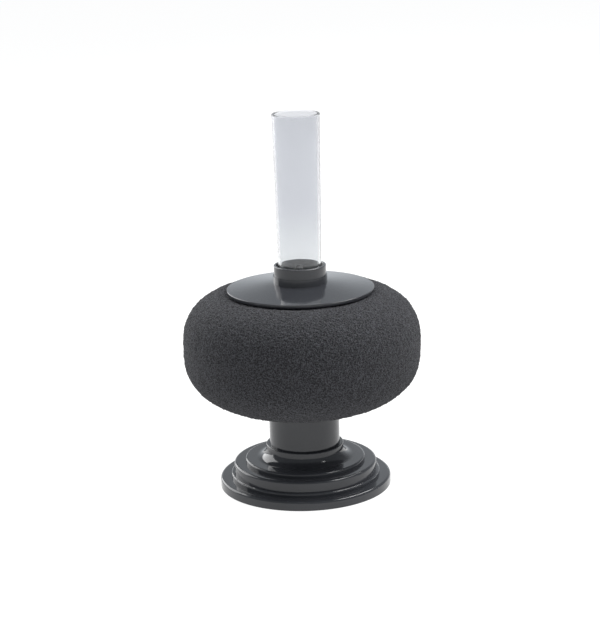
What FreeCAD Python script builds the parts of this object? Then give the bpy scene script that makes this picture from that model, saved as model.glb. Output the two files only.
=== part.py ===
import FreeCAD, Part
import os
from math import acos, cos, hypot, sin

import Sketcher
from FreeCAD import Vector

# Air-driven sponge filter for an aquarium, standing on a weighted pedestal.
# Millimetres. Z is up, the underside of the foot is at Z = 0 and the filter's axis is the Z axis.
# The photograph is taken from the -Y side, and the airline nipple is on the hidden +Y side.

os.makedirs("parts", exist_ok=True)
doc = FreeCAD.newDocument("sponge_filter")

# Driving dimensions
SIZES = {
    # weighted foot
    "foot_radius": 43.8,
    "foot_height": 4.8,
    "foot_round": 1.2,
    "foot_floor": 1.8,
    "ring_radius": 38.2,
    "ring_height": 2.1,
    "ring_round": 0.8,
    "lip_height": 2.4,
    "lip_wall": 1.6,
    "plug_height": 3.0,
    "plug_wall": 1.6,
    # stepped bell above the foot
    "bell_radius": 36.6,
    "bell_side": 5.5,
    "bell_wall": 2.0,
    "bell_round": 1.2,
    "tier_radius": 30.7,
    "tier_rise": 2.1,
    "tier_round": 0.9,
    "flare_radius": 25.2,
    "flare_rise": 4.1,
    "flare_bend": 5.4,
    "neck_radius": 19.8,
    "neck_height": 3.0,
    "neck_round": 0.5,
    "sleeve_wall": 2.0,
    "sleeve_drop": 3.2,
    # ballast
    "ballast_height": 6.8,
    "ballast_gap": 0.4,
    # stem and strainer
    "stem_radius": 18.0,
    "stem_wall": 2.0,
    "stem_visible": 19.2,
    "flange_radius": 24.0,
    "flange_thick": 1.6,
    "spigot_length": 6.0,
    "spigot_wall": 1.8,
    "core_height": 61.5,
    "core_wall": 2.0,
    "core_top_thick": 1.6,
    "guide_lip": 2.0,
    "core_rim": 1.4,
    "core_rim_wall": 1.6,
    "slot_width": 5.0,
    "slot_height": 13.0,
    "slot_pitch": 16.5,
    "slot_start": 4.0,
    # foam
    "foam_radius": 60.0,
    "foam_below": 33.7,
    "foam_crown": 2.5,
    "foam_drop": 1.2,
    "foam_square_below": 2.68,
    "foam_square_above": 2.89,
    "foam_shoulder": 3.8,
    # cap
    "cap_radius": 37.2,
    "cap_rim": 1.5,
    "cap_rise": 2.8,
    "cap_lift": 2.3,
    "cap_round": 0.3,
    "cap_boss_radius": 17.6,
    "collar_radius": 13.2,
    "collar_height": 9.0,
    "collar_lead": 2.4,
    "collar_mouth": 12.1,
    "bead_radius": 13.7,
    "bead_height": 3.7,
    "collar_round": 0.4,
    "skirt_wall": 1.7,
    "skirt_depth": 10.0,
    "ledge_drop": 2.6,
    "ledge_thick": 2.0,
    "ledge_width": 1.5,
    # lift tube
    "tube_foot_radius": 11.0,
    "tube_mouth_radius": 12.0,
    "tube_wall": 1.4,
    "tube_length": 90.2,
    "tube_socket": 12.5,
    "tube_mouth_depth": 12.0,
    "tube_round": 0.5,
    # air inlet
    "inlet_rise": 4.3,
    "inlet_reach": 14.6,
    "inlet_boss_radius": 3.6,
    "inlet_flange_radius": 3.2,
    "inlet_flange_thick": 1.0,
    "inlet_neck_length": 5.0,
    "inlet_neck_radius": 2.0,
    "inlet_olive_radius": 2.4,
    "inlet_olive_length": 3.0,
    "inlet_tip_radius": 1.8,
    "inlet_tip_length": 2.0,
    "inlet_bore": 1.1,
    "inlet_offset": 6.2,
    "inlet_leg": 17.0,
    "pipe_wall": 0.75,
    "pipe_length": 50.0,
    "diffuser_radius": 4.0,
    "diffuser_length": 9.0,
    "diffuser_socket": 4.0,
    "diffuser_floor": 1.2,
    "diffuser_hole": 0.6,
    # clearances
    "fit_gap": 0.08,
    "push_gap": 0.05,
    "foam_gap": 0.3,
    "notch_gap": 0.5,
    "diffuser_gap": 4.0,
}
SLOT_COLUMNS = 8
SLOT_ROWS = 3
DIFFUSER_HOLES = 6
FOAM_POINTS = 9  # points of the foam's outline between the equator and each end

sheet = doc.addObject("Spreadsheet::Sheet", "Sizes")
for row, (name, number) in enumerate(SIZES.items(), start=1):
    sheet.set(f"A{row}", name)
    sheet.set(f"B{row}", str(number))
    sheet.setAlias(f"B{row}", name)
doc.recompute()


def size(name):
    return f"Sizes.{name}"


def value(expression):
    """The number that an expression of the sheet's sizes comes to."""
    found = sheet.evalExpression(expression)
    return float(getattr(found, "Value", found))


def total(*terms):
    return " + ".join(f"({term})" for term in terms)


def less(first, *others):
    return f"({first})" + "".join(f" - ({other})" for other in others)


# Heights of the pieces' seats, from the floor up
seam = total(size("foot_height"), size("ring_height"))
bell_top = total(seam, size("bell_side"))
tier_top = total(bell_top, size("tier_rise"))
neck_foot = total(tier_top, size("flare_rise"))
neck_top = total(neck_foot, size("neck_height"))
flange_low = total(neck_top, size("stem_visible"))
flange_top = total(flange_low, size("flange_thick"))
core_top = total(flange_top, size("core_height"))
collar_foot = total(core_top, size("cap_lift"))
collar_top = total(collar_foot, size("collar_height"))
rim_top = less(collar_foot, size("cap_rise"))
rim_low = less(rim_top, size("cap_rim"))
ledge_top = less(core_top, size("ledge_drop"))
guide_low = less(core_top, size("skirt_depth"))
cage_top = less(core_top, size("core_top_thick"))
inlet_height = total(collar_foot, size("inlet_rise"))
leg_low = less(inlet_height, size("inlet_leg"))
equator = total(less(flange_low, size("foam_drop")), size("foam_below"))
diffuser_low = total(flange_top, size("diffuser_gap"))
diffuser_seat = less(size("diffuser_length"), size("diffuser_socket"))
pipe_low = total(diffuser_low, diffuser_seat)

# Radii that follow from a neighbour's size
stem_bore = less(size("stem_radius"), size("stem_wall"))
spigot_radius = less(stem_bore, size("fit_gap"))
core_bore = less(size("stem_radius"), size("core_wall"))
socket_bore = total(size("tube_foot_radius"), size("fit_gap"))
guide_bore = total(size("collar_radius"), size("fit_gap"))
guide_wall = total(guide_bore, size("skirt_wall"))
insert_radius = less(core_bore, size("fit_gap"))
lip_radius = less(size("bell_radius"), size("bell_wall"), size("fit_gap"))
lip_bore = less(lip_radius, size("lip_wall"))
sleeve_bore = total(size("stem_radius"), size("fit_gap"))
sleeve_radius = total(sleeve_bore, size("sleeve_wall"))
pipe_bore = total(size("inlet_neck_radius"), size("push_gap"))
pipe_radius = total(pipe_bore, size("pipe_wall"))


def origin_feature(body, role):
    return next(item for item in body.Origin.OriginFeatures if item.Role == role)


def pin(sketch, line, end, across, up):
    """Holds one end of a line, 1 or 2, at its two distances from the sketch's origin."""
    for kind, distance, axis in (("DistanceX", across, -2), ("DistanceY", up, -1)):
        if distance == "0":
            sketch.addConstraint(Sketcher.Constraint("PointOnObject", line, end, axis))
            continue
        number = value(distance)
        ends = (-1, 1, line, end) if number >= 0 else (line, end, -1, 1)
        text = distance if number >= 0 else f"-({distance})"
        index = sketch.addConstraint(Sketcher.Constraint(kind, *ends, abs(number)))
        label = f"{'across' if kind == 'DistanceX' else 'up'}_{line}_{end}"
        sketch.renameConstraint(index, label)
        sketch.setExpression(f"Constraints.{label}", text)


def crown_of(start, end, radius):
    """The middle of an arc that bulges to the right of its way when radius is positive."""
    along = (end - start).normalize()
    side = Vector(along.y, -along.x, 0)
    half = (end - start).Length / 2
    rise = abs(radius) - (radius**2 - half**2) ** 0.5
    return (start + end) * 0.5 + side * (rise if radius > 0 else -rise)


def draw(sketch, outline):
    """A closed outline of points (across, up), or (across, up, bend) where an arc leaves it.

    Every distance is an expression of the sheet's sizes.
    """
    corners = [Vector(value(point[0]), value(point[1]), 0) for point in outline]
    arcs = {}
    for index, point in enumerate(outline):
        start, end = corners[index], corners[(index + 1) % len(corners)]
        if len(point) == 2:
            sketch.addGeometry(Part.LineSegment(start, end), False)
            continue
        crown = crown_of(start, end, value(point[2]))
        arcs[index] = (crown - start).cross(end - crown).z > 0
        ends = (start, end) if arcs[index] else (end, start)
        sketch.addGeometry(Part.Arc(ends[0], crown, ends[1]), False)
    count = len(outline)

    def end_of(line, last):
        # a sketch's arc runs anticlockwise, so one that the outline takes clockwise is turned round
        turned_round = not arcs.get(line, True)
        return 2 if last != turned_round else 1

    for line in range(count):
        after = (line + 1) % count
        joint = (line, end_of(line, True), after, end_of(after, False))
        sketch.addConstraint(Sketcher.Constraint("Coincident", *joint))
    for line, point in enumerate(outline):
        if line not in arcs:
            pin(sketch, line, 1, point[0], point[1])
            continue
        before = (line - 1) % count
        pin(sketch, before, end_of(before, True), point[0], point[1])
        index = sketch.addConstraint(Sketcher.Constraint("Radius", line, abs(value(point[2]))))
        sketch.renameConstraint(index, f"bend_{line}")
        sketch.setExpression(f"Constraints.bend_{line}", f"abs({point[2]})")


def new_sketch(body, name, role, offset=None):
    sketch = body.newObject("Sketcher::SketchObject", name)
    sketch.AttachmentSupport = [(origin_feature(body, role), "")]
    sketch.MapMode = "FlatFace"
    if offset is not None:
        sketch.setExpression("AttachmentOffset.Base.z", offset)
    return sketch


def turned(label, outline):
    """A body spun about Z from a closed half outline of (radius, height) points."""
    body = doc.addObject("PartDesign::Body", label)
    body.Label = label
    sketch = new_sketch(body, f"{label}_outline", "XZ_Plane")
    draw(sketch, outline)
    spin = body.newObject("PartDesign::Revolution", f"{label}_turned")
    spin.Profile = sketch
    spin.ReferenceAxis = (sketch, ["V_Axis"])
    spin.Angle = 360
    doc.recompute()
    return body


def round_rings(body, name, rings, radius):
    """Rounds the circular edges that lie at the given (radius, height) pairs."""
    wanted = [(value(across), value(up)) for across, up in rings]
    edges = []
    for index, edge in enumerate(body.Tip.Shape.Edges, start=1):
        curve = edge.Curve
        if not isinstance(curve, Part.Circle):
            continue
        place = (curve.Radius, curve.Center.z)
        if any(hypot(place[0] - a, place[1] - b) < 1e-3 for a, b in wanted):
            edges.append(f"Edge{index}")
    if len(edges) != len(rings):
        raise RuntimeError(f"{name}: {len(edges)} edges found for {len(rings)} rings")
    base = body.Tip
    fillet = body.newObject("PartDesign::Fillet", name)
    fillet.Base = (base, edges)
    fillet.setExpression("Radius", radius)
    doc.recompute()


def cut_towards(body, name, sketch, way, depth):
    """A pocket from the sketch's plane along way, which has to take material off."""
    before = body.Tip.Shape.Volume
    pocket = body.newObject("PartDesign::Pocket", name)
    pocket.Profile = sketch
    pocket.setExpression("Length", depth)
    doc.recompute()
    normal = sketch.Placement.Rotation.multVec(Vector(0, 0, 1))
    pocket.Reversed = normal.dot(way) > 0
    doc.recompute()
    if pocket.Shape.Volume >= before:
        raise RuntimeError(f"{name} cuts nothing")
    return pocket


def spread_round(body, name, feature, count):
    pattern = body.newObject("PartDesign::PolarPattern", name)
    pattern.Originals = [feature]
    pattern.Axis = (origin_feature(body, "Z_Axis"), [""])
    pattern.Angle = 360
    pattern.Occurrences = count
    body.Tip = pattern
    doc.recompute()
    return pattern


def cylinder(name, radius, length, low):
    """An upright cylinder that is used up by a cut or a fuse, from the height low."""
    solid = doc.addObject("Part::Cylinder", name)
    solid.setExpression("Radius", radius)
    solid.setExpression("Height", length)
    solid.setExpression("Placement.Base.z", low)
    return solid


def hollow(label, outer, inner):
    cut = doc.addObject("Part::Cut", label)
    cut.Label = label
    cut.Base, cut.Tool = outer, inner
    doc.recompute()
    return cut


def foot_tray():
    """The round foot: a dish that holds the ballast, with a ring that the bell stands on."""
    lip_top = total(seam, size("lip_height"))
    plug_bore = less(spigot_radius, size("plug_wall"))
    plug_top = total(size("foot_floor"), size("plug_height"))
    body = turned(
        "foot_tray",
        [
            ("0", "0"),
            (size("foot_radius"), "0"),
            (size("foot_radius"), size("foot_height")),
            (size("ring_radius"), size("foot_height")),
            (size("ring_radius"), seam),
            (lip_radius, seam),
            (lip_radius, lip_top),
            (lip_bore, lip_top),
            (lip_bore, size("foot_floor")),
            (spigot_radius, size("foot_floor")),
            (spigot_radius, plug_top),
            (plug_bore, plug_top),
            (plug_bore, size("foot_floor")),
            ("0", size("foot_floor")),
        ],
    )
    foot_edge = [(size("foot_radius"), size("foot_height"))]
    round_rings(body, "foot_edge", foot_edge, size("foot_round"))
    round_rings(body, "ring_edge", [(size("ring_radius"), seam)], size("ring_round"))
    return body


def base_bell():
    """The stepped moulding between foot and stem, whose neck grips the stem."""
    under_bell = less(bell_top, size("bell_wall"))
    under_tier = less(tier_top, size("bell_wall"))
    sleeve_low = less(under_tier, size("sleeve_drop"))
    body = turned(
        "base_bell",
        [
            (size("bell_radius"), seam),
            (size("bell_radius"), bell_top),
            (size("tier_radius"), bell_top),
            (size("tier_radius"), tier_top),
            (size("flare_radius"), tier_top, less("0", size("flare_bend"))),
            (size("neck_radius"), neck_foot),
            (size("neck_radius"), neck_top),
            (sleeve_bore, neck_top),
            (sleeve_bore, sleeve_low),
            (sleeve_radius, sleeve_low),
            (sleeve_radius, under_tier),
            (less(size("tier_radius"), size("bell_wall")), under_tier),
            (less(size("tier_radius"), size("bell_wall")), under_bell),
            (less(size("bell_radius"), size("bell_wall")), under_bell),
            (less(size("bell_radius"), size("bell_wall")), seam),
        ],
    )
    round_rings(body, "bell_edge", [(size("bell_radius"), bell_top)], size("bell_round"))
    round_rings(body, "tier_edge", [(size("tier_radius"), tier_top)], size("tier_round"))
    round_rings(body, "neck_edge", [(size("neck_radius"), neck_top)], size("neck_round"))
    return body


def ballast_ring():
    """The cast weight shut in between foot and bell."""
    low = size("foot_floor")
    outside = less(lip_bore, size("ballast_gap"))
    inside = total(sleeve_radius, size("ballast_gap"))
    outer = cylinder("ballast_outside", outside, size("ballast_height"), low)
    inner = cylinder("ballast_hole", inside, size("ballast_height"), low)
    return hollow("ballast_ring", outer, inner)


def stem():
    """The column from the foot's plug up to the strainer's flange."""
    body = doc.addObject("PartDesign::Body", "stem")
    body.Label = "stem"
    sketch = new_sketch(body, "stem_section", "XY_Plane")
    for index, radius in enumerate((size("stem_radius"), stem_bore)):
        sketch.addGeometry(Part.Circle(Vector(0, 0, 0), Vector(0, 0, 1), value(radius)), False)
        sketch.addConstraint(Sketcher.Constraint("Coincident", index, 3, -1, 1))
        ring = sketch.addConstraint(Sketcher.Constraint("Radius", index, value(radius)))
        sketch.renameConstraint(ring, f"ring_{index}")
        sketch.setExpression(f"Constraints.ring_{index}", radius)
    pad = body.newObject("PartDesign::Pad", "stem_column")
    pad.Profile = sketch
    pad.setExpression("Length", less(flange_low, size("foot_floor")))
    body.setExpression("Placement.Base.z", size("foot_floor"))
    doc.recompute()
    return body


def core_foot():
    """The flange that carries foam and strainer, with the spigot that plugs into the stem."""
    spigot_low = less(flange_low, size("spigot_length"))
    spigot_bore = less(spigot_radius, size("spigot_wall"))
    rim_bore = less(insert_radius, size("core_rim_wall"))
    rim_high = total(flange_top, size("core_rim"))
    return turned(
        "core_foot",
        [
            ("0", flange_low),
            (spigot_bore, flange_low),
            (spigot_bore, spigot_low),
            (spigot_radius, spigot_low),
            (spigot_radius, flange_low),
            (size("flange_radius"), flange_low),
            (size("flange_radius"), flange_top),
            (insert_radius, flange_top),
            (insert_radius, rim_high),
            (rim_bore, rim_high),
            (rim_bore, flange_top),
            ("0", flange_top),
        ],
    )


def strainer():
    """The slotted cage inside the foam, held by the core's foot below and the guide ring above."""
    body = turned(
        "strainer",
        [
            (core_bore, flange_top),
            (size("stem_radius"), flange_top),
            (size("stem_radius"), cage_top),
            (core_bore, cage_top),
        ],
    )
    half = f"({size('slot_width')}) / 2"
    for row in range(SLOT_ROWS):
        low = total(flange_top, size("slot_start"), f"{row} * ({size('slot_pitch')})")
        top = total(low, size("slot_height"))
        sketch = new_sketch(body, f"slot_row_{row}", "XZ_Plane")
        draw(sketch, [(f"-{half}", low), (half, low), (half, top), (f"-{half}", top)])
        reach = total(size("stem_radius"), size("core_wall"))
        slot = cut_towards(body, f"slot_{row}", sketch, Vector(0, -1, 0), reach)
        spread_round(body, f"slots_{row}", slot, SLOT_COLUMNS)
    return body


def guide_ring():
    """The ring let into the top of the strainer, in which the cap's skirt is guided."""
    insert_low = less(cage_top, size("guide_lip"))
    return turned(
        "guide_ring",
        [
            (guide_bore, guide_low),
            (guide_wall, guide_low),
            (guide_wall, insert_low),
            (insert_radius, insert_low),
            (insert_radius, cage_top),
            (size("stem_radius"), cage_top),
            (size("stem_radius"), core_top),
            (guide_bore, core_top),
        ],
    )


def under_cap(radius):
    """The height of the cap's underside at a radius, in millimetres."""
    slope = value(size("cap_rise")) / value(less(size("cap_radius"), size("bead_radius")))
    return value(rim_low) + (value(size("cap_radius")) - radius) * slope


def foam_side(square, height, end_radius):
    """Points of a squared-off ellipse, from the equator to the radius end_radius."""
    wide = value(size("foam_radius"))
    stop = acos((end_radius / wide) ** (square / 2))
    points = []
    for step in range(FOAM_POINTS + 1):
        turn = stop * step / FOAM_POINTS
        across = wide * cos(turn) ** (2 / square)
        points.append(Vector(across, 0, height * sin(turn) ** (2 / square)))
    return points


def sponge():
    """The foam: a squat, squared-off ball of revolution with a hole for the strainer.

    Its top is pressed to the cap's underside, and a recess below takes the strainer's flange.
    """
    gap = value(size("foam_gap"))
    middle = Vector(0, 0, value(equator))
    above = value(total(core_top, size("foam_crown"))) - middle.z
    shoulder = value(total(size("cap_radius"), size("foam_shoulder")))
    recess = value(size("flange_radius")) + gap
    hole = value(size("stem_radius")) + gap
    upper = [middle + p for p in foam_side(value(size("foam_square_above")), above, shoulder)]
    down = -value(size("foam_below"))
    lower = [middle + p for p in foam_side(value(size("foam_square_below")), down, recess)]

    def curve(points):
        spline = Part.BSplineCurve()
        spline.interpolate(points)
        return spline.toShape()

    rim = value(size("cap_radius"))
    recess_top = value(flange_top) + gap
    corners = [
        upper[-1],
        Vector(rim, 0, under_cap(rim) - gap),
        Vector(hole, 0, under_cap(hole) - gap),
        Vector(hole, 0, recess_top),
        Vector(recess, 0, recess_top),
        lower[-1],
    ]
    edges = [curve(upper)]
    edges += [Part.LineSegment(a, b).toShape() for a, b in zip(corners, corners[1:])]
    edges.append(curve(lower[::-1]))
    face = Part.Face(Part.Wire(edges))
    solid = face.revolve(Vector(0, 0, 0), Vector(0, 0, 1), 360)
    if solid.Volume < 0:
        solid.reverse()
    foam = doc.addObject("Part::Feature", "sponge")
    foam.Label = "sponge"
    foam.Shape = solid
    return foam


def top_cap():
    """The shallow cone that holds the foam down, with the collar and socket of the lift tube."""
    boss = size("cap_boss_radius")
    slope = f"({size('cap_rise')}) / ({less(size('cap_radius'), size('bead_radius'))})"
    boss_top = total(rim_low, f"({less(size('cap_radius'), boss)}) * {slope}")
    bead_top = total(collar_foot, size("bead_height"))
    skirt_bore = less(size("collar_radius"), size("skirt_wall"))
    ledge_low = less(ledge_top, size("ledge_thick"))
    ledge_bore = less(socket_bore, size("ledge_width"))
    body = turned(
        "top_cap",
        [
            (size("cap_radius"), rim_low),
            (size("cap_radius"), rim_top),
            (size("bead_radius"), collar_foot),
            (size("bead_radius"), bead_top),
            (size("collar_radius"), bead_top),
            (size("collar_radius"), collar_top),
            (size("collar_mouth"), collar_top),
            (socket_bore, less(collar_top, size("collar_lead"))),
            (socket_bore, ledge_top),
            (ledge_bore, ledge_top),
            (ledge_bore, ledge_low),
            (skirt_bore, ledge_low),
            (skirt_bore, guide_low),
            (size("collar_radius"), guide_low),
            (size("collar_radius"), core_top),
            (boss, core_top),
            (boss, boss_top),
        ],
    )
    round_rings(body, "cap_edge", [(size("cap_radius"), rim_top)], size("cap_round"))
    round_rings(body, "collar_edge", [(size("collar_radius"), collar_top)], size("collar_round"))
    inlet_boss(body)
    return body


def circle_sketch(body, name, role, radius, up, offset=None):
    sketch = new_sketch(body, name, role, offset)
    centre = Vector(0, value(up), 0)
    sketch.addGeometry(Part.Circle(centre, Vector(0, 0, 1), value(radius)), False)
    sketch.addConstraint(Sketcher.Constraint("PointOnObject", 0, 3, -2))
    height = sketch.addConstraint(Sketcher.Constraint("DistanceY", -1, 1, 0, 3, value(up)))
    ring = sketch.addConstraint(Sketcher.Constraint("Radius", 0, value(radius)))
    sketch.renameConstraint(height, "height")
    sketch.renameConstraint(ring, "ring")
    sketch.setExpression("Constraints.height", up)
    sketch.setExpression("Constraints.ring", radius)
    return sketch


def inlet_boss(body):
    """A flat boss on the back of the collar, and the hole that the inlet elbow goes through."""
    # the XZ plane looks along -Y, so a plane at +Y has a negative offset
    face = less("0", size("inlet_reach"))
    radius = size("inlet_boss_radius")
    boss = circle_sketch(body, "boss_ring", "XZ_Plane", radius, inlet_height, face)
    pad = body.newObject("PartDesign::Pad", "boss_pad")
    pad.Profile = boss
    half_way = f"(({socket_bore}) + ({size('collar_radius')})) / 2"
    pad.setExpression("Length", less(size("inlet_reach"), half_way))
    doc.recompute()
    hole = total(size("inlet_neck_radius"), size("push_gap"))
    ring = circle_sketch(body, "inlet_hole", "XZ_Plane", hole, inlet_height)
    depth = total(size("inlet_reach"), size("inlet_flange_thick"))
    cut_towards(body, "inlet_cut", ring, Vector(0, 1, 0), depth)


def lift_tube():
    """The clear tube, with a notch at its foot that straddles the inlet elbow."""
    mouth = total(ledge_top, size("tube_length"))
    shoulder = total(ledge_top, size("tube_socket"))
    foot_bore = less(size("tube_foot_radius"), size("tube_wall"))
    mouth_bore = less(size("tube_mouth_radius"), size("tube_wall"))
    mouth_low = less(mouth, size("tube_mouth_depth"))
    body = turned(
        "lift_tube",
        [
            (size("tube_foot_radius"), ledge_top),
            (size("tube_foot_radius"), shoulder),
            (size("tube_mouth_radius"), mouth),
            (mouth_bore, mouth),
            (mouth_bore, mouth_low),
            (foot_bore, shoulder),
            (foot_bore, ledge_top),
        ],
    )
    rings = [(size("tube_mouth_radius"), mouth), (mouth_bore, mouth)]
    round_rings(body, "mouth_edges", rings, size("tube_round"))
    half = total(size("inlet_neck_radius"), size("notch_gap"))
    left = f"-({half})"
    below = less(ledge_top, size("ledge_thick"))
    reach = total(size("tube_mouth_radius"), size("tube_wall"))
    back = Vector(0, 1, 0)
    sketch = new_sketch(body, "notch_sides", "XZ_Plane")
    draw(sketch, [(left, below), (half, below), (half, inlet_height), (left, inlet_height)])
    cut_towards(body, "notch_cut", sketch, back, reach)
    ring = circle_sketch(body, "notch_end", "XZ_Plane", half, inlet_height)
    cut_towards(body, "notch_end_cut", ring, back, reach)
    return body


def lying(name, radius, length, start, end_radius=None):
    """A cylinder, or a cone to end_radius, that lies along +Y at the height of the air inlet."""
    kind = "Part::Cone" if end_radius else "Part::Cylinder"
    solid = doc.addObject(kind, name)
    solid.setExpression("Radius1" if end_radius else "Radius", radius)
    if end_radius:
        solid.setExpression("Radius2", end_radius)
    solid.setExpression("Height", length)
    solid.Placement.Rotation = FreeCAD.Rotation(Vector(1, 0, 0), -90)
    solid.setExpression("Placement.Base.y", start)
    solid.setExpression("Placement.Base.z", inlet_height)
    return solid


def bent(name, radius, length):
    """A round bar of a length along +Y, turned down at its start by the inlet's leg."""
    start = size("inlet_offset")
    along = lying(f"{name}_along", radius, length, start)
    down = cylinder(f"{name}_down", radius, size("inlet_leg"), leg_low)
    turn = doc.addObject("Part::Sphere", f"{name}_turn")
    turn.setExpression("Radius", radius)
    turn.setExpression("Placement.Base.z", inlet_height)
    for upright in (down, turn):
        upright.setExpression("Placement.Base.y", start)
    return [along, down, turn]


def fused(name, pieces):
    joined = doc.addObject("Part::MultiFuse", name)
    joined.Shapes = pieces
    joined.Refine = True
    return joined


def air_elbow():
    """The inlet: a spout for the airline outside, and a leg that hangs inside the lift tube."""
    flange_out = total(size("inlet_reach"), size("inlet_flange_thick"))
    olive_start = total(flange_out, size("inlet_neck_length"))
    tip_start = total(olive_start, size("inlet_olive_length"))
    tip_end = total(tip_start, size("inlet_tip_length"))
    flange_radius, flange_thick = size("inlet_flange_radius"), size("inlet_flange_thick")
    olive_radius, olive_length = size("inlet_olive_radius"), size("inlet_olive_length")
    tip_radius, tip_length = size("inlet_tip_radius"), size("inlet_tip_length")
    bar = bent("inlet", size("inlet_neck_radius"), less(olive_start, size("inlet_offset")))
    flange = lying("inlet_flange", flange_radius, flange_thick, size("inlet_reach"))
    olive = lying("inlet_olive", olive_radius, olive_length, olive_start)
    tip = lying("inlet_tip", olive_radius, tip_length, tip_start, tip_radius)
    passage = bent("inlet_bore", size("inlet_bore"), less(tip_end, size("inlet_offset")))
    outside = fused("inlet_outside", bar + [flange, olive, tip])
    return hollow("air_elbow", outside, fused("inlet_passage", passage))


def air_pipe():
    """The thin rigid pipe that takes the air down inside the strainer, slid over the leg."""
    outer = cylinder("pipe_outside", pipe_radius, size("pipe_length"), pipe_low)
    inner = cylinder("pipe_hole", pipe_bore, size("pipe_length"), pipe_low)
    for piece in (outer, inner):
        piece.setExpression("Placement.Base.y", size("inlet_offset"))
    return hollow("air_pipe", outer, inner)


def air_diffuser():
    """The cup at the pipe's end, with a ring of fine holes where the bubbles leave."""
    socket = total(pipe_radius, size("push_gap"))
    chamber = less(pipe_bore, size("push_gap"))
    body = turned(
        "air_diffuser",
        [
            ("0", "0"),
            (size("diffuser_radius"), "0"),
            (size("diffuser_radius"), size("diffuser_length")),
            (socket, size("diffuser_length")),
            (socket, diffuser_seat),
            (chamber, diffuser_seat),
            (chamber, size("diffuser_floor")),
            ("0", size("diffuser_floor")),
        ],
    )
    height = f"(({diffuser_seat}) + ({size('diffuser_floor')})) / 2"
    ring = circle_sketch(body, "bubble_hole", "XZ_Plane", size("diffuser_hole"), height)
    depth = total(size("diffuser_radius"), size("pipe_wall"))
    hole = cut_towards(body, "bubble_cut", ring, Vector(0, 1, 0), depth)
    spread_round(body, "bubble_holes", hole, DIFFUSER_HOLES)
    body.setExpression("Placement.Base.y", size("inlet_offset"))
    body.setExpression("Placement.Base.z", diffuser_low)
    doc.recompute()
    return body


sub_parts = [
    foot_tray(),
    base_bell(),
    ballast_ring(),
    stem(),
    core_foot(),
    strainer(),
    guide_ring(),
    sponge(),
    top_cap(),
    lift_tube(),
    air_elbow(),
    air_pipe(),
    air_diffuser(),
]
doc.recompute()

for item in doc.Objects:
    if any(mark in ("Invalid", "Error") for mark in item.State):
        raise RuntimeError(f"{item.Name} failed: {item.State}")
for piece in sub_parts:
    shape = piece.Shape
    if shape.isNull() or not shape.isValid() or len(shape.Solids) != 1:
        raise RuntimeError(f"{piece.Label} isn't one valid solid")

for piece in sub_parts:
    piece.Shape.exportStep(os.path.join("parts", f"{piece.Label}.step"))
    box = piece.Shape.BoundBox
    print(
        f"{piece.Label:14s} {piece.Shape.Volume:10.1f} mm3"
        f"  X {box.XMin:7.2f} {box.XMax:7.2f}  Y {box.YMin:7.2f} {box.YMax:7.2f}"
        f"  Z {box.ZMin:7.2f} {box.ZMax:7.2f}"
    )
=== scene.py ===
# %% [markdown]
# # An air-driven sponge filter for an aquarium
# The filter is a squat ball of charcoal foam on a glossy, stepped pedestal. A shallow cap presses
# on the foam, and a clear tube stands in the cap's collar. Air bubbles rise in the tube and draw
# the water in through the foam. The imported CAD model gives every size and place, in metres with
# Z up. This script makes the foam, gives every piece its finish and sets up the stage. The camera
# looks along +Y.

# %% Load the frame
from math import acos, cos, pi, radians, sin

import bpy
from mathutils import Euler, Matrix, Vector


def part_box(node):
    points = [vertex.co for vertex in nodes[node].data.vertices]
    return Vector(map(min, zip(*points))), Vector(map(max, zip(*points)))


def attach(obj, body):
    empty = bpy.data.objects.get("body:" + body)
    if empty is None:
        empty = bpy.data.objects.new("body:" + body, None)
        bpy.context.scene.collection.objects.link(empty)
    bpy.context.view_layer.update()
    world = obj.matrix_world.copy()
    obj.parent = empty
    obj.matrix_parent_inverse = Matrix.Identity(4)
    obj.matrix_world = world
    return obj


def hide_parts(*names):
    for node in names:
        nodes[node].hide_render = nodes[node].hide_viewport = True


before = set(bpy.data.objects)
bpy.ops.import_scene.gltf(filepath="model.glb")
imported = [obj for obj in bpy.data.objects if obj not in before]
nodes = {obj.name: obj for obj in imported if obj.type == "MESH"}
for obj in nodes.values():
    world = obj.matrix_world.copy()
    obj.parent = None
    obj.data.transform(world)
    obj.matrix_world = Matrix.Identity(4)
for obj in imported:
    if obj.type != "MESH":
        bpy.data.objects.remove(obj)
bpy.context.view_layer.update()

MM = 0.001
print("CAD nodes:", ", ".join(sorted(nodes)))

# %% [markdown]
# ## Selecting one object
# Blender's operators act on whatever is selected, and the CAD nodes come in selected. They could
# be hidden or kept in a list of their own. It is simpler that each step first deselects
# everything, and then selects and activates the one object that it works on.

# %% Select one object
def only(obj):
    bpy.ops.object.select_all(action="DESELECT")
    obj.select_set(True)
    bpy.context.view_layer.objects.active = obj


def in_edit_mode(obj):
    only(obj)
    bpy.ops.object.mode_set(mode="EDIT")
    bpy.ops.mesh.select_all(action="SELECT")


def in_object_mode():
    bpy.ops.object.mode_set(mode="OBJECT")
    return bpy.context.active_object


# %% [markdown]
# ## Turning a piece
# The foam is round about one axis, like work from a lathe. It could be a stack of scaled circles
# that are bridged, but a half outline keeps the form in one readable line. A plane is merged to a
# single point, the point is extruded along the half outline, and Spin sweeps that line round.
# Spin leaves a doubled seam, so the doubles are merged before the normals are recalculated.

# %% Spin a half outline
MERGE_WITHIN = 0.02 * MM


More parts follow.
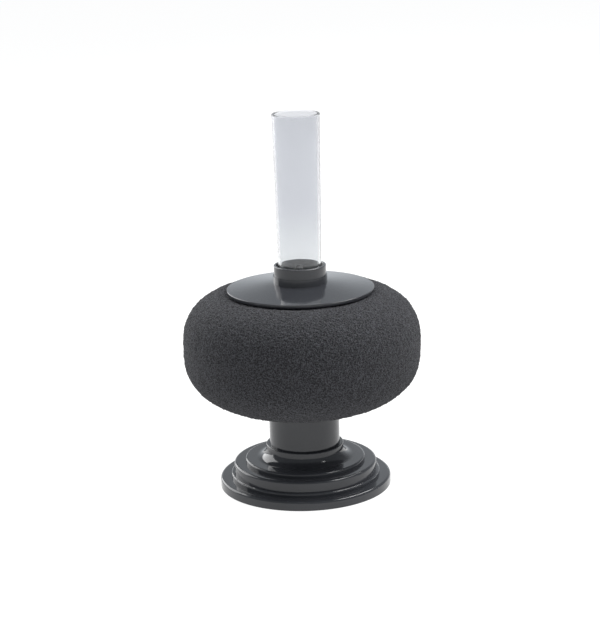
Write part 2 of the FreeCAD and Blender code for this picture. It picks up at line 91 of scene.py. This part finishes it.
def half_outline(name, points):
    """A chain of edges through (radius, height) points, in metres, in the plane Y = 0."""
    bpy.ops.object.select_all(action="DESELECT")
    bpy.ops.mesh.primitive_plane_add(size=MM)
    obj = bpy.context.active_object
    obj.name = obj.data.name = name
    in_edit_mode(obj)
    bpy.ops.mesh.merge(type="CENTER")
    bpy.ops.transform.translate(value=(points[0][0], 0, points[0][1]))
    for start, end in zip(points, points[1:]):
        step = (end[0] - start[0], 0, end[1] - start[1])
        bpy.ops.mesh.extrude_region_move(TRANSFORM_OT_translate={"value": step})
    return in_object_mode()


def spun(obj, steps):
    """The half outline swept once round the Z axis, in the given number of steps."""
    in_edit_mode(obj)
    bpy.ops.mesh.spin(steps=steps, angle=2 * pi, center=(0, 0, 0), axis=(0, 0, 1))
    bpy.ops.mesh.select_all(action="SELECT")
    bpy.ops.mesh.remove_doubles(threshold=MERGE_WITHIN)
    bpy.ops.mesh.normals_make_consistent(inside=False)
    return in_object_mode()


# %% [markdown]
# ## The side of the foam
# The sponge is open-cell foam cut to a squat ball with flattened ends. A scaled sphere would be
# too pointed at the shoulders and a rounded cylinder too straight at the side, so the side is a
# squared-off ellipse: its squareness would be 2 for a plain ellipse, and more makes it boxier.
# The ball is a little fuller above its widest ring than below it, so each half has its own value.

# %% Draw the side of the foam
FOAM_GAP = 0.3 * MM  # between the foam and what it lies against
FOAM_DROP = 1.2 * MM  # the ellipse bottoms out this far below the stem's top
HALF_BELOW = 33.7 * MM  # from there up to the widest ring
FOAM_CROWN = 2.5 * MM  # it peaks this far above the guide ring's top
SQUARE_BELOW = 2.68
SQUARE_ABOVE = 2.89
SIDE_POINTS = 24
PIT_DEPTH = 0.7 * MM  # the pits are pressed in from this far outside, so the foam keeps its size

foam_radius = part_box("sponge")[1].y
stem_radius, stem_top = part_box("stem")[1].yz
recess_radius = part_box("core_foot")[1].x + FOAM_GAP
equator = stem_top - FOAM_DROP + HALF_BELOW
half_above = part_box("guide_ring")[1].z + FOAM_CROWN - equator


def foam_side(square, height, end_radius):
    """Points from the equator to end_radius on an ellipse of the given squareness."""
    stop = acos((end_radius / foam_radius) ** (square / 2))
    turns = [stop * step / SIDE_POINTS for step in range(SIDE_POINTS + 1)]
    wide = [(foam_radius + PIT_DEPTH) * cos(turn) ** (2 / square) for turn in turns]
    return [(r, equator + height * sin(turn) ** (2 / square)) for r, turn in zip(wide, turns)]


print(f"foam: {2 * foam_radius / MM:.1f} mm wide, widest {equator / MM:.1f} mm up")

# %% [markdown]
# ## The dent, the hole and the recess
# The cap presses a shallow cone into the top of the foam, the strainer stands in a hole through
# its middle, and the strainer's flange lies in a recess below. They could be cut with booleans,
# but they are round about the same axis, so they are simply more corners of the half outline. The
# line between two corners is cut into short steps, because the pits need fine, even faces.

# %% Measure the cap, the hole and the recess
COLLAR_HEIGHT = 9.0 * MM
BEAD_RADIUS = 13.7 * MM  # the cap's cone starts here, at the foot of the collar
CAP_RISE = 2.8 * MM
CAP_RIM = 1.5 * MM

hole_radius = stem_radius + FOAM_GAP
recess_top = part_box("strainer")[0].z + FOAM_GAP
cap_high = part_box("top_cap")[1]
cap_radius = cap_high.x
cap_rim_low = cap_high.z - COLLAR_HEIGHT - CAP_RISE - CAP_RIM
cap_slope = CAP_RISE / (cap_radius - BEAD_RADIUS)


def under_cap(radius):
    """The height of the foam under the cap's cone."""
    return cap_rim_low + (cap_radius - radius) * cap_slope - FOAM_GAP


print(f"dent from {under_cap(cap_radius) / MM:.1f} to {under_cap(hole_radius) / MM:.1f} mm up")
print(f"hole {2 * hole_radius / MM:.1f} mm wide, recess {2 * recess_radius / MM:.1f} mm")

# %% Close the outline and spin it
SHOULDER = 3.8 * MM  # the dent starts this far outside the cap's edge
CHAIN_STEP = 1.2 * MM
SPIN_STEPS = 160


def run(start, end):
    """Evenly spaced points from start to end, without end."""
    length = (Vector(end) - Vector(start)).length
    count = max(1, round(length / CHAIN_STEP))
    return [tuple(Vector(start).lerp(Vector(end), step / count)) for step in range(count)]


upper = foam_side(SQUARE_ABOVE, half_above, cap_radius + SHOULDER)
lower = foam_side(SQUARE_BELOW, -HALF_BELOW, recess_radius)
corners = [
    upper[-1],
    (cap_radius, under_cap(cap_radius)),
    (hole_radius, under_cap(hole_radius)),
    (hole_radius, recess_top),
    (recess_radius, recess_top),
    lower[-1],
]
inside = [point for a, b in zip(corners, corners[1:]) for point in run(a, b)]
outline = upper[:-1] + inside + lower[:0:-1] + [upper[0]]
foam = spun(half_outline("foam_ball", outline), SPIN_STEPS)
print(f"foam outline: {len(outline)} points, spun in {SPIN_STEPS} steps")

# %% [markdown]
# ## The pores that show in the outline
# The foam's cells are about 0.8 mm wide, and the cut leaves them open, so its edge looks bitten.
# Carving each one would take millions of faces, and a bump alone leaves the edge smooth. So the
# ball is subdivided and pressed in by a cell pattern, and a wide, soft swell keeps it from looking
# turned. Both patterns are solid, so there is no seam, and the material draws the finer cells.

# %% Pit the foam
FINER = 2
PIT_GRAIN = 1.3 * MM
SWELL_GRAIN = 9.0 * MM
SWELL_DEPTH = 0.5 * MM


def displaced(obj, name, kind, grain, depth):
    """Presses the faces inwards, by up to depth, with a solid pattern of the given grain."""
    pattern = bpy.data.textures.new(name, kind)
    pattern.noise_scale = grain
    modifier = obj.modifiers.new(name, "DISPLACE")
    modifier.texture = pattern
    modifier.texture_coords = "LOCAL"
    modifier.strength = depth
    modifier.mid_level = 1.0


finer = foam.modifiers.new("finer", "SUBSURF")
finer.levels = finer.render_levels = FINER
finer.subdivision_type = "CATMULL_CLARK"
displaced(foam, "foam_pits", "VORONOI", PIT_GRAIN, PIT_DEPTH)
displaced(foam, "foam_swell", "CLOUDS", SWELL_GRAIN, SWELL_DEPTH)
only(foam)
for modifier in list(foam.modifiers):
    bpy.ops.object.modifier_apply(modifier=modifier.name)
bpy.ops.object.shade_smooth()
print(f"{foam.name}: {len(foam.data.vertices)} vertices, {len(foam.data.polygons)} faces")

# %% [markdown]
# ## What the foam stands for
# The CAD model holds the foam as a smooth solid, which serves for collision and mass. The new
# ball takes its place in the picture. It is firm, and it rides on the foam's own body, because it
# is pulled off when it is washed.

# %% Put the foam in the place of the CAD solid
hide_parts("sponge")
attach(foam, "foam")
print(f"{foam.name} stands for the sponge, {foam.dimensions.x / MM:.1f} mm wide")

# %% [markdown]
# ## Materials
# Every finish is a node tree on Object coordinates, so a pattern has its real size in metres and
# stays put when a piece moves. An image could be wrapped round each piece instead, but it would
# need a flat unfolding of each, and it would blur close up. A few helpers keep the trees short.

# %% Helpers for node trees
def new_material(name):
    material = bpy.data.materials.new(name)
    material.use_nodes = True
    shader = material.node_tree.nodes["Principled BSDF"]
    return material, material.node_tree, shader


def add(tree, kind, **settings):
    node = tree.nodes.new(kind)
    for key, setting in settings.items():
        setattr(node, key, setting)
    return node


def feed(tree, value, target):
    """Links value to target if it is a socket, and otherwise sets it there."""
    if isinstance(value, bpy.types.NodeSocket):
        tree.links.new(value, target)
    else:
        target.default_value = value


def object_place(tree):
    return add(tree, "ShaderNodeTexCoord").outputs["Object"]


# %% Helpers for patterns
def noise(tree, place, per_metre, detail):
    """A solid noise from 0 to 1, with so many grains in a metre."""
    node = add(tree, "ShaderNodeTexNoise")
    feed(tree, place, node.inputs["Vector"])
    feed(tree, per_metre, node.inputs["Scale"])
    feed(tree, detail, node.inputs["Detail"])
    return node.outputs["Fac"]


def stretched(tree, value, low, high, to_low=0.0, to_high=1.0):
    """Maps low to to_low and high to to_high, and holds what lies beyond."""
    node = add(tree, "ShaderNodeMapRange")
    feed(tree, value, node.inputs["Value"])
    feed(tree, low, node.inputs["From Min"])
    feed(tree, high, node.inputs["From Max"])
    feed(tree, to_low, node.inputs["To Min"])
    feed(tree, to_high, node.inputs["To Max"])
    return node.outputs["Result"]


# %% Helpers that mix and raise patterns
def mixed(tree, kind, factor, a, b):
    """a where factor is 0 and b where it is 1, both of the given kind of data."""
    node = add(tree, "ShaderNodeMix", data_type=kind)
    feed(tree, factor, node.inputs["Factor"])
    feed(tree, a, node.inputs["A"])
    feed(tree, b, node.inputs["B"])
    return node.outputs["Result"]


def raised(tree, height, strength, depth):
    """A normal that shows height as a relief of the given depth."""
    node = add(tree, "ShaderNodeBump")
    feed(tree, height, node.inputs["Height"])
    feed(tree, strength, node.inputs["Strength"])
    feed(tree, depth, node.inputs["Distance"])
    return node.outputs["Normal"]


# %% [markdown]
# ## Wear, shared by all plastics
# No moulded surface is quite even. Its colour clouds a little, fingers and cleaning leave smears
# that shine less, and the mould's own surface leaves a fine grain. Each material could have its
# own nodes for this, but then a change would be made four times. So the effect is one node group:
# it is built once, and each material places it and fills in its own values.

# %% Name what the wear group takes and gives
wear = bpy.data.node_groups.new("wear", "ShaderNodeTree")
wear.interface.new_socket("Colour", in_out="INPUT", socket_type="NodeSocketColor")
for name in ("Clouds", "Smears", "Smears From", "Smears To", "Smoothest", "Roughest", "Grain"):
    wear.interface.new_socket(name, in_out="INPUT", socket_type="NodeSocketFloat")
wear.interface.new_socket("Colour", in_out="OUTPUT", socket_type="NodeSocketColor")
wear.interface.new_socket("Roughness", in_out="OUTPUT", socket_type="NodeSocketFloat")
wear.interface.new_socket("Height", in_out="OUTPUT", socket_type="NodeSocketFloat")
sockets = [f"{item.name} ({item.in_out.lower()})" for item in wear.interface.items_tree]
print("wear:", ", ".join(sockets))

# %% Build the wear group
CLOUDS_FROM, CLOUDS_TO = 0.3, 0.7  # the part of the noise that the clouding spans
DARKER, LIGHTER = 0.9, 1.1

given = add(wear, "NodeGroupInput").outputs
result = add(wear, "NodeGroupOutput").inputs
place = object_place(wear)
clouds = noise(wear, place, given["Clouds"], 2.0)
shade = add(wear, "ShaderNodeVectorMath", operation="SCALE")
feed(wear, given["Colour"], shade.inputs["Vector"])
feed(wear, stretched(wear, clouds, CLOUDS_FROM, CLOUDS_TO, DARKER, LIGHTER), shade.inputs["Scale"])
smears = stretched(
    wear,
    noise(wear, place, given["Smears"], 3.0),
    given["Smears From"],
    given["Smears To"],
    given["Smoothest"],
    given["Roughest"],
)
feed(wear, shade.outputs["Vector"], result["Colour"])
feed(wear, smears, result["Roughness"])
feed(wear, noise(wear, place, given["Grain"], 1.0), result["Height"])
print(f"wear: {len(wear.nodes)} nodes")


# %% Place the wear group in a material
def worn(tree, **values):
    """The outputs of the wear group, placed in tree with the given values."""
    node = add(tree, "ShaderNodeGroup", node_tree=wear)
    for name, value in values.items():
        feed(tree, value, node.inputs[name.replace("_", " ")])
    return node.outputs


# %% [markdown]
# ## Opaque plastics
# The pedestal, the stem and the cap are a polished grey plastic that mirrors the lamps, and the
# parts inside are a satin black one. The ballast is a casting with a thick, pebbly coat. They
# differ only in colour, shine and grain, so one function makes all three. No gloss coat is laid
# over the plastic, because its own low roughness already gives the sharp streaks of light.

# %% Grey plastic, black plastic and the coated casting
CLOUD_SIZE = 22 * MM
SMEAR_SIZE = 14 * MM
SMEAR_SPAN = (0.3, 0.7)  # the part of the noise that goes from smoothest to roughest
GRAIN_DEPTH = 0.2 * MM
PLASTIC_IOR = 1.5


def moulded(name, colour, shine, grain, relief):
    """An opaque moulded surface, whose shine is its smoothest and roughest roughness."""
    material, tree, shader = new_material(name)
    surface = worn(
        tree,
        Colour=(*colour, 1),
        Clouds=1 / CLOUD_SIZE,
        Smears=1 / SMEAR_SIZE,
        Smears_From=SMEAR_SPAN[0],
        Smears_To=SMEAR_SPAN[1],
        Smoothest=shine[0],
        Roughest=shine[1],
        Grain=1 / grain,
    )
    feed(tree, surface["Colour"], shader.inputs["Base Color"])
    feed(tree, surface["Roughness"], shader.inputs["Roughness"])
    normal = raised(tree, surface["Height"], relief, GRAIN_DEPTH)
    feed(tree, normal, shader.inputs["Normal"])
    shader.inputs["IOR"].default_value = PLASTIC_IOR
    print(f"{name}: roughness {shine[0]} to {shine[1]}, grain {grain / MM:.1f} mm")
    return material


gloss = moulded(
    "glossy_grey_plastic",
    colour=(0.042, 0.044, 0.050),
    shine=(0.08, 0.14),
    grain=2.5 * MM,
    relief=0.02,
)
satin = moulded(
    "satin_black_plastic",
    colour=(0.03, 0.03, 0.032),
    shine=(0.35, 0.5),
    grain=1.0 * MM,
    relief=0.1,
)
casting = moulded(
    "coated_casting",
    colour=(0.12, 0.12, 0.13),
    shine=(0.5, 0.7),
    grain=0.8 * MM,
    relief=0.4,
)

# %% [markdown]
# ## Clear plastic
# The lift tube is clear, and its faint grey-blue is painted shade that darkens towards its mouth.
# Smoke inside the wall would give a grey like this, but it is slow and grainy. A tint that follows
# the height paints it instead: light passes two walls, and the tint darkens it a little at each. A
# second mask, over the last half millimetre, paints the rim white as a painted highlight and makes
# it matt.

# %% Helper for colour ramps
def ramp(tree, source, stops):
    """A colour ramp with (position, grey or colour) stops, fed by source."""
    node = add(tree, "ShaderNodeValToRGB")
    elements = node.color_ramp.elements
    while len(elements) < len(stops):
        elements.new(0.5)
    for element, (position, colour) in zip(elements, stops):
        element.position = position
        rgb = (colour, colour, colour) if isinstance(colour, (int, float)) else colour
        element.color = (*rgb, 1)
    feed(tree, source, node.inputs["Fac"])
    return node.outputs["Color"]


# %% Paint shade on the tube by height
PAINTED_SHADE_START = 113 * MM
PAINTED_SHADE_FULL = 145 * MM
PAINTED_SHADE_TINTS = [(0.0, (0.885, 0.9, 0.91)), (0.3, (0.82, 0.835, 0.85)), (1.0, (0.747, 0.759, 0.788))]
# the rim at the mouth is painted white, a painted highlight, and made matt
PAINTED_RIM_START = 0.7 * MM  # both are measured down from the tube's mouth
PAINTED_RIM_FULL = 0.4 * MM
PAINTED_RIM_HIGHLIGHT = (0.97, 0.98, 1, 1)

clear, tree, shader = new_material("clear_plastic")
shader.inputs["Transmission Weight"].default_value = 0.95
shader.inputs["IOR"].default_value = 1.46
axes = add(tree, "ShaderNodeSeparateXYZ")
feed(tree, object_place(tree), axes.inputs["Vector"])
height = axes.outputs["Z"]
tube_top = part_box("lift_tube")[1].z
# painted shade: the tube's grey-blue darkens towards its mouth
painted_tube_shade = ramp(tree, stretched(tree, height, PAINTED_SHADE_START, PAINTED_SHADE_FULL), PAINTED_SHADE_TINTS)
matt_rim_painted_white = stretched(tree, height, tube_top - PAINTED_RIM_START, tube_top - PAINTED_RIM_FULL)
feed(tree, mixed(tree, "RGBA", matt_rim_painted_white, painted_tube_shade, PAINTED_RIM_HIGHLIGHT), shader.inputs["Base Color"])
print(f"clear plastic: haze from {PAINTED_SHADE_START / MM:.0f} to {PAINTED_SHADE_FULL / MM:.0f} mm up")

# %% Smear the tube and roughen its rim, which is painted white
TUBE_SMEAR_SIZE = 9 * MM
RIM_ROUGHNESS = 0.6

smears = worn(
    tree,
    Smears=1 / TUBE_SMEAR_SIZE,
    Smears_From=0.35,
    Smears_To=0.75,
    Smoothest=0.0,
    Roughest=0.04,
)["Roughness"]
feed(tree, mixed(tree, "FLOAT", matt_rim_painted_white, smears, RIM_ROUGHNESS), shader.inputs["Roughness"])
print(f"tube: smears of {TUBE_SMEAR_SIZE / MM:.0f} mm, sawn end {tube_top / MM:.1f} mm up")

# %% [markdown]
# ## Foam finish
# Close up, foam is a net of struts round open pores. Real struts would be far too many, so
# a cell pattern gives the pores their size and a finer noise breaks up its regular look. Their
# mean drives both the colour and the relief: the noise's speckle is the foam's own uneven tone,
# and the pores are darkened as painted shade, so that what is dark is also deep. The foam hardly
# shines, and a trace of sheen lightens it where it turns away, as fine fibres do.

# %% Draw the pores and their painted shade
PORE = 0.8 * MM
SPECKLE = 0.55 * MM
PORE_SHADE_STOPS = [(0.1, 0.0), (0.62, 1.0)]
SPECKLE_STOPS = [(0.36, 0.0), (0.64, 1.0)]
HALF_OF_EACH = 0.5

charcoal, tree, shader = new_material("charcoal_foam")
place = object_place(tree)
cells = add(tree, "ShaderNodeTexVoronoi", feature="F1")
feed(tree, place, cells.inputs["Vector"])
cells.inputs["Scale"].default_value = 1 / PORE
# painted shade: dark in the pores, light on the walls between them
pore_shade = ramp(tree, cells.outputs["Distance"], PORE_SHADE_STOPS)
speckle = ramp(tree, noise(tree, place, 1 / SPECKLE, 2.0), SPECKLE_STOPS)
pores = mixed(tree, "RGBA", HALF_OF_EACH, pore_shade, speckle)
print(f"foam: pores {PORE / MM:.1f} mm, speckle {SPECKLE / MM:.2f} mm")

# %% Colour the foam
PORE_DEPTH = 0.4 * MM
FOAM_TONES_AND_PORE_SHADE = [
    (0.1, (0.014, 0.014, 0.015)),
    (0.5, (0.036, 0.036, 0.039)),
    (0.95, (0.094, 0.095, 0.105)),
]

# the darkest tone is painted shade in the pores
feed(tree, ramp(tree, pores, FOAM_TONES_AND_PORE_SHADE), shader.inputs["Base Color"])
feed(tree, raised(tree, pores, 1.0, PORE_DEPTH), shader.inputs["Normal"])
shader.inputs["Roughness"].default_value = 0.9
shader.inputs["Specular IOR Level"].default_value = 0.2
shader.inputs["Sheen Weight"].default_value = 0.06
shader.inputs["Sheen Roughness"].default_value = 0.4
foam.data.materials.append(charcoal)
print(f"{charcoal.name}: {len(tree.nodes)} nodes")

# %% [markdown]
# ## Which piece has which finish
# The CAD nodes keep their shape and only change their material. It goes into the slots that each
# node came with, so no face has to be selected. What shows outside is glossy, what hides in the
# foam is satin, and one table makes it easy to try another finish.

# %% Give every CAD node its finish
FINISHES = {
    "foot_tray": gloss,
    "base_bell": gloss,
    "stem": gloss,
    "top_cap": gloss,
    "ballast_ring": casting,
    "core_foot": satin,
    "strainer": satin,
    "guide_ring": satin,
    "air_elbow": satin,
    "air_pipe": satin,
    "air_diffuser": satin,
    "lift_tube": clear,
}
for name, finish in FINISHES.items():
    for material_slot in nodes[name].material_slots:
        material_slot.material = finish
print(len(FINISHES), "CAD nodes have their finish")

# %% [markdown]
# ## The floor
# The photograph was taken on white paper that runs up behind the filter. Bright lamps could burn
# such a floor out to white, but they would bleach the filter too. So the paper is grey and glows
# a little, and it glows white for the rays that come from the camera, from a reflection or
# through the clear tube. The lamps stay at a plain level, and the floor keeps a soft shadow.

# %% Lay the floor
FLOOR_SIZE = 24.0
FLOOR_DROP = 0.05 * MM  # keeps it clear of the underside of the foot

bpy.ops.object.select_all(action="DESELECT")
bpy.ops.mesh.primitive_plane_add(size=FLOOR_SIZE, location=(0, 0, -FLOOR_DROP))
floor = bpy.context.active_object
floor.name = "pale_floor"
print(f"floor: {FLOOR_SIZE:.0f} m wide, {FLOOR_DROP / MM:.2f} mm below the foot")


# %% Tell one kind of ray from another
def seen_ray(tree, *kinds):
    """1 for a ray of one of the given kinds, and 0 for all others."""
    path = add(tree, "ShaderNodeLightPath")
    found = path.outputs[kinds[0]]
    for kind in kinds[1:]:
        either = add(tree, "ShaderNodeMath", operation="MAXIMUM")
        feed(tree, found, either.inputs[0])
        feed(tree, path.outputs[kind], either.inputs[1])
        found = either.outputs[0]
    return found


def either_shader(tree, factor, a, b):
    """Shader a where factor is 0, and shader b where it is 1."""
    node = add(tree, "ShaderNodeMixShader")
    feed(tree, factor, node.inputs["Fac"])
    feed(tree, a, node.inputs[1])
    feed(tree, b, node.inputs[2])
    return node.outputs["Shader"]


# %% White paper
PAPER_GREY = 0.2
PLAIN_GLOW = 0.65
SEEN_GLOW = 0.92
WHITE = (1, 1, 1, 1)

paper, tree, shader = new_material("white_paper")
shader.inputs["Base Color"].default_value = (PAPER_GREY, PAPER_GREY, PAPER_GREY, 1)
shader.inputs["Roughness"].default_value = 1.0
shader.inputs["Specular IOR Level"].default_value = 0.0
shader.inputs["Emission Color"].default_value = WHITE
seen = seen_ray(tree, "Is Camera Ray", "Is Glossy Ray", "Is Transmission Ray")
feed(tree, mixed(tree, "FLOAT", seen, PLAIN_GLOW, SEEN_GLOW), shader.inputs["Emission Strength"])
# from below the paper is clear, so that the underside of the foot can be seen
below = add(tree, "ShaderNodeNewGeometry").outputs["Backfacing"]
nothing = add(tree, "ShaderNodeBsdfTransparent").outputs["BSDF"]
surface = either_shader(tree, below, shader.outputs["BSDF"], nothing)
feed(tree, surface, tree.nodes["Material Output"].inputs["Surface"])
floor.data.materials.append(paper)
print(f"{paper.name}: glows {PLAIN_GLOW}, and {SEEN_GLOW} where it is seen")

# %% [markdown]
# ## The room
# A glossy piece shows the room that it stands in. The photograph's plastic mirrors a white sweep
# low down behind it and a darker room above and in front, which gives its dark faces and pale
# edges. Cards could be set up for this, but a gradient in the world is simpler and has no edges.
# Only reflections see the gradient. The camera sees white, also through the tube, and soft light
# from all round lifts the shadows a little.

# %% Shade the room
BRIGHT_WAY = (0, 0.8, -0.6)  # towards the sweep, low down behind the filter
DIM_BELOW = 0.3  # the cosine to BRIGHT_WAY where the room starts to brighten
WHITE_ABOVE = 0.8  # and where it is white
ROOM_LEVEL = 0.3

world = bpy.data.worlds.new("studio")
bpy.context.scene.world = world
world.use_nodes = True
tree = world.node_tree
toward = add(tree, "ShaderNodeVectorMath", operation="DOT_PRODUCT")
feed(tree, add(tree, "ShaderNodeTexCoord").outputs["Generated"], toward.inputs[0])
feed(tree, BRIGHT_WAY, toward.inputs[1])
depth = stretched(tree, toward.outputs["Value"], DIM_BELOW, WHITE_ABOVE, ROOM_LEVEL)
print(f"{world.name}: reflections from {ROOM_LEVEL} to 1")

# %% Choose which rays see the shaded room
DIFFUSE_LEVEL = 0.3
ROOM_COLOUR = (0.9, 0.95, 1, 1)

white_room = tree.nodes["Background"]
white_room.inputs["Color"].default_value = WHITE
level = mixed(tree, "FLOAT", seen_ray(tree, "Is Glossy Ray"), DIFFUSE_LEVEL, depth)
mirrored = add(tree, "ShaderNodeBackground")
feed(tree, ROOM_COLOUR, mirrored.inputs["Color"])
feed(tree, level, mirrored.inputs["Strength"])
seen = seen_ray(tree, "Is Camera Ray", "Is Transmission Ray")
shaded, white = mirrored.outputs["Background"], white_room.outputs["Background"]
room = either_shader(tree, seen, shaded, white)
feed(tree, room, tree.nodes["World Output"].inputs["Surface"])
print(f"{world.name}: soft light {DIFFUSE_LEVEL}")

# %% [markdown]
# ## The lamps
# The streaks on the cap and the tiers show a large soft light on the left, a long narrow one high
# on the right and a weak one above. Point lamps would give hard spots, so these are area lamps,
# which work like softboxes. They are hidden from the camera and behind the clear tube, because
# the tube would vanish where it stands in front of one.

# %% Hang the softboxes
LAMP_TARGET = (0, 0, 0.09)
SOFTBOXES = {  # place and size in metres, power in watts
    "left_box": ((-0.98, 0.82, 0.62), (1.3, 1.15), 17),
    "right_box": ((0.78, 0.14, 1.13), (1.6, 0.3), 18),
    "top_box": ((-0.1, 0.1, 1.3), (0.8, 0.8), 5),
}


def softbox(name, place, size, power):
    bpy.ops.object.light_add(type="AREA", location=place)
    lamp = bpy.context.active_object
    lamp.name = name
    lamp.data.shape = "RECTANGLE"
    lamp.data.size, lamp.data.size_y = size
    lamp.data.energy = power
    lamp.visible_camera = lamp.visible_transmission = False
    way = Vector(LAMP_TARGET) - Vector(place)
    lamp.rotation_euler = way.to_track_quat("-Z", "Y").to_euler()
    print(f"{name}: {power} W, {way.length:.2f} m away")


for name, (place, size, power) in SOFTBOXES.items():
    softbox(name, place, size, power)

# %% [markdown]
# ## The camera
# The camera stands where the photograph's did. Its place was worked out from the ellipses that
# the round rims make: their flatness gives the pitch, and how they shrink with distance gives the
# distance and the lens. The picture is a little tilted, so the camera is rolled as well. A camera
# that tracks a target would be simpler, but it can't roll.

# %% Place the camera
PICTURE_HEIGHT = 620  # the longer side, which the sensor spans
FOCAL_PIXELS = 1800
SENSOR = 36.0
PITCH = radians(14.54)
ROLL = radians(1.65)
DISTANCE = 0.910
AIM = Vector((-0.00055, 0, 0.0915))
NEAREST = 0.01

back = Vector((0, -cos(PITCH), sin(PITCH)))
bpy.ops.object.camera_add(location=AIM + back * DISTANCE)
camera = bpy.context.active_object
upright = Euler((pi / 2 - PITCH, 0, 0)).to_matrix()
camera.rotation_euler = (upright @ Matrix.Rotation(-ROLL, 3, "Z")).to_euler()
camera.data.sensor_width = SENSOR
camera.data.lens = SENSOR * FOCAL_PIXELS / PICTURE_HEIGHT
camera.data.clip_start = NEAREST
bpy.context.scene.camera = camera
bpy.context.scene.view_settings.view_transform = "Standard"
print(f"lens {camera.data.lens:.1f} mm, camera at", tuple(round(c, 4) for c in camera.location))
